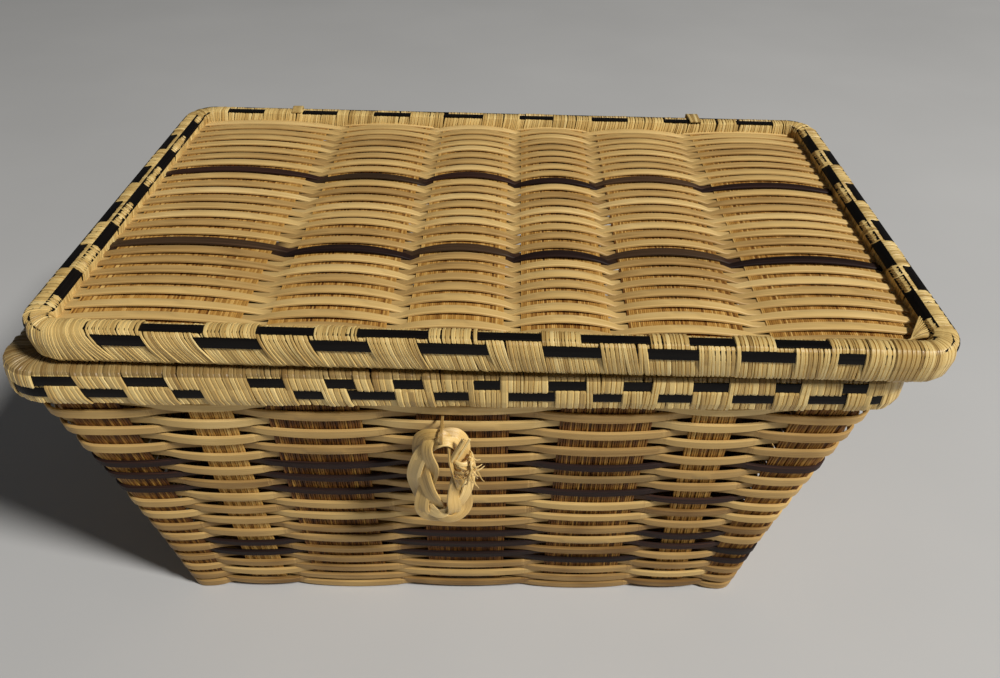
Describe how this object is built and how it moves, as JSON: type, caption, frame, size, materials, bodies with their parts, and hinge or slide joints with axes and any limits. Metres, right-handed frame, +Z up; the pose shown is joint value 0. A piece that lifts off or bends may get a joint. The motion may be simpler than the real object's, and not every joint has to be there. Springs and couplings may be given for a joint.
{
  "type": "lidded wicker basket",
  "caption": "Small rectangular woven cane basket with tapering walls, raffia-bound rims with black strips, a hinged woven lid and a braided closing loop.",
  "frame": {"origin": "middle of the underside of the base", "axes": "+X to the right along the length, +Y to the back, where the lid is tied, +Z up; the closing loop is at -Y"},
  "size_m": [0.238, 0.1519, 0.1231],
  "materials": {
    "light_cane": "split cane, satin, with dark canes woven in",
    "amber_splint": "bundles of thin amber splints",
    "peeled_rod": "peeled rod",
    "pale_raffia": "pale raffia, dry, fine fibres",
    "black_strip": "black-dyed cane, slight gloss",
    "golden_straw": "braided straw"
  },
  "bodies": {
    "basket": {"base_weave": "light_cane", "front_wall_weave": "light_cane", "right_wall_weave": "light_cane", "back_wall_weave": "light_cane", "left_wall_weave": "light_cane", "crosswise_stake_1": "amber_splint", "crosswise_stake_2": "amber_splint", "crosswise_stake_3": "amber_splint", "crosswise_stake_4": "amber_splint", "crosswise_stake_5": "amber_splint", "crosswise_stake_6": "amber_splint", "crosswise_stake_7": "amber_splint", "lengthwise_stake_1": "amber_splint", "lengthwise_stake_2": "amber_splint", "lengthwise_stake_3": "amber_splint", "lengthwise_stake_4": "amber_splint", "rim_outer_hoop": "peeled_rod", "rim_inner_hoop": "peeled_rod", "rim_binding": "pale_raffia", "rim_black_strip_upper": "black_strip", "rim_black_strip_lower": "black_strip", "hinge_tie_left": "pale_raffia", "hinge_tie_right": "pale_raffia", "loop_staple": "golden_straw"},
    "lid": {"lid_weave": "light_cane", "lid_stake_1": "amber_splint", "lid_stake_2": "amber_splint", "lid_stake_3": "amber_splint", "lid_stake_4": "amber_splint", "lid_stake_5": "amber_splint", "lid_stake_6": "amber_splint", "lid_hoop": "peeled_rod", "lid_binding": "pale_raffia", "lid_black_strip_outer": "black_strip", "lid_black_strip_inner": "black_strip"},
    "loop": {"closing_loop": "golden_straw", "loop_knot": "golden_straw"}
  },
  "joints": [
    {"name": "lid_hinge", "type": "hinge", "parent": "basket", "child": "lid", "pos_m": [0, 0.0755, 0.11105], "axis": [-1, 0, 0], "range_deg": [0, 120], "deforming": ["hinge_tie_left", "hinge_tie_right"]},
    {"name": "loop_swing", "type": "hinge", "parent": "basket", "child": "loop", "pos_m": [-0.0042, -0.07253, 0.0921], "axis": [-1, 0, 0], "range_deg": [-12, 90]}
  ]
}
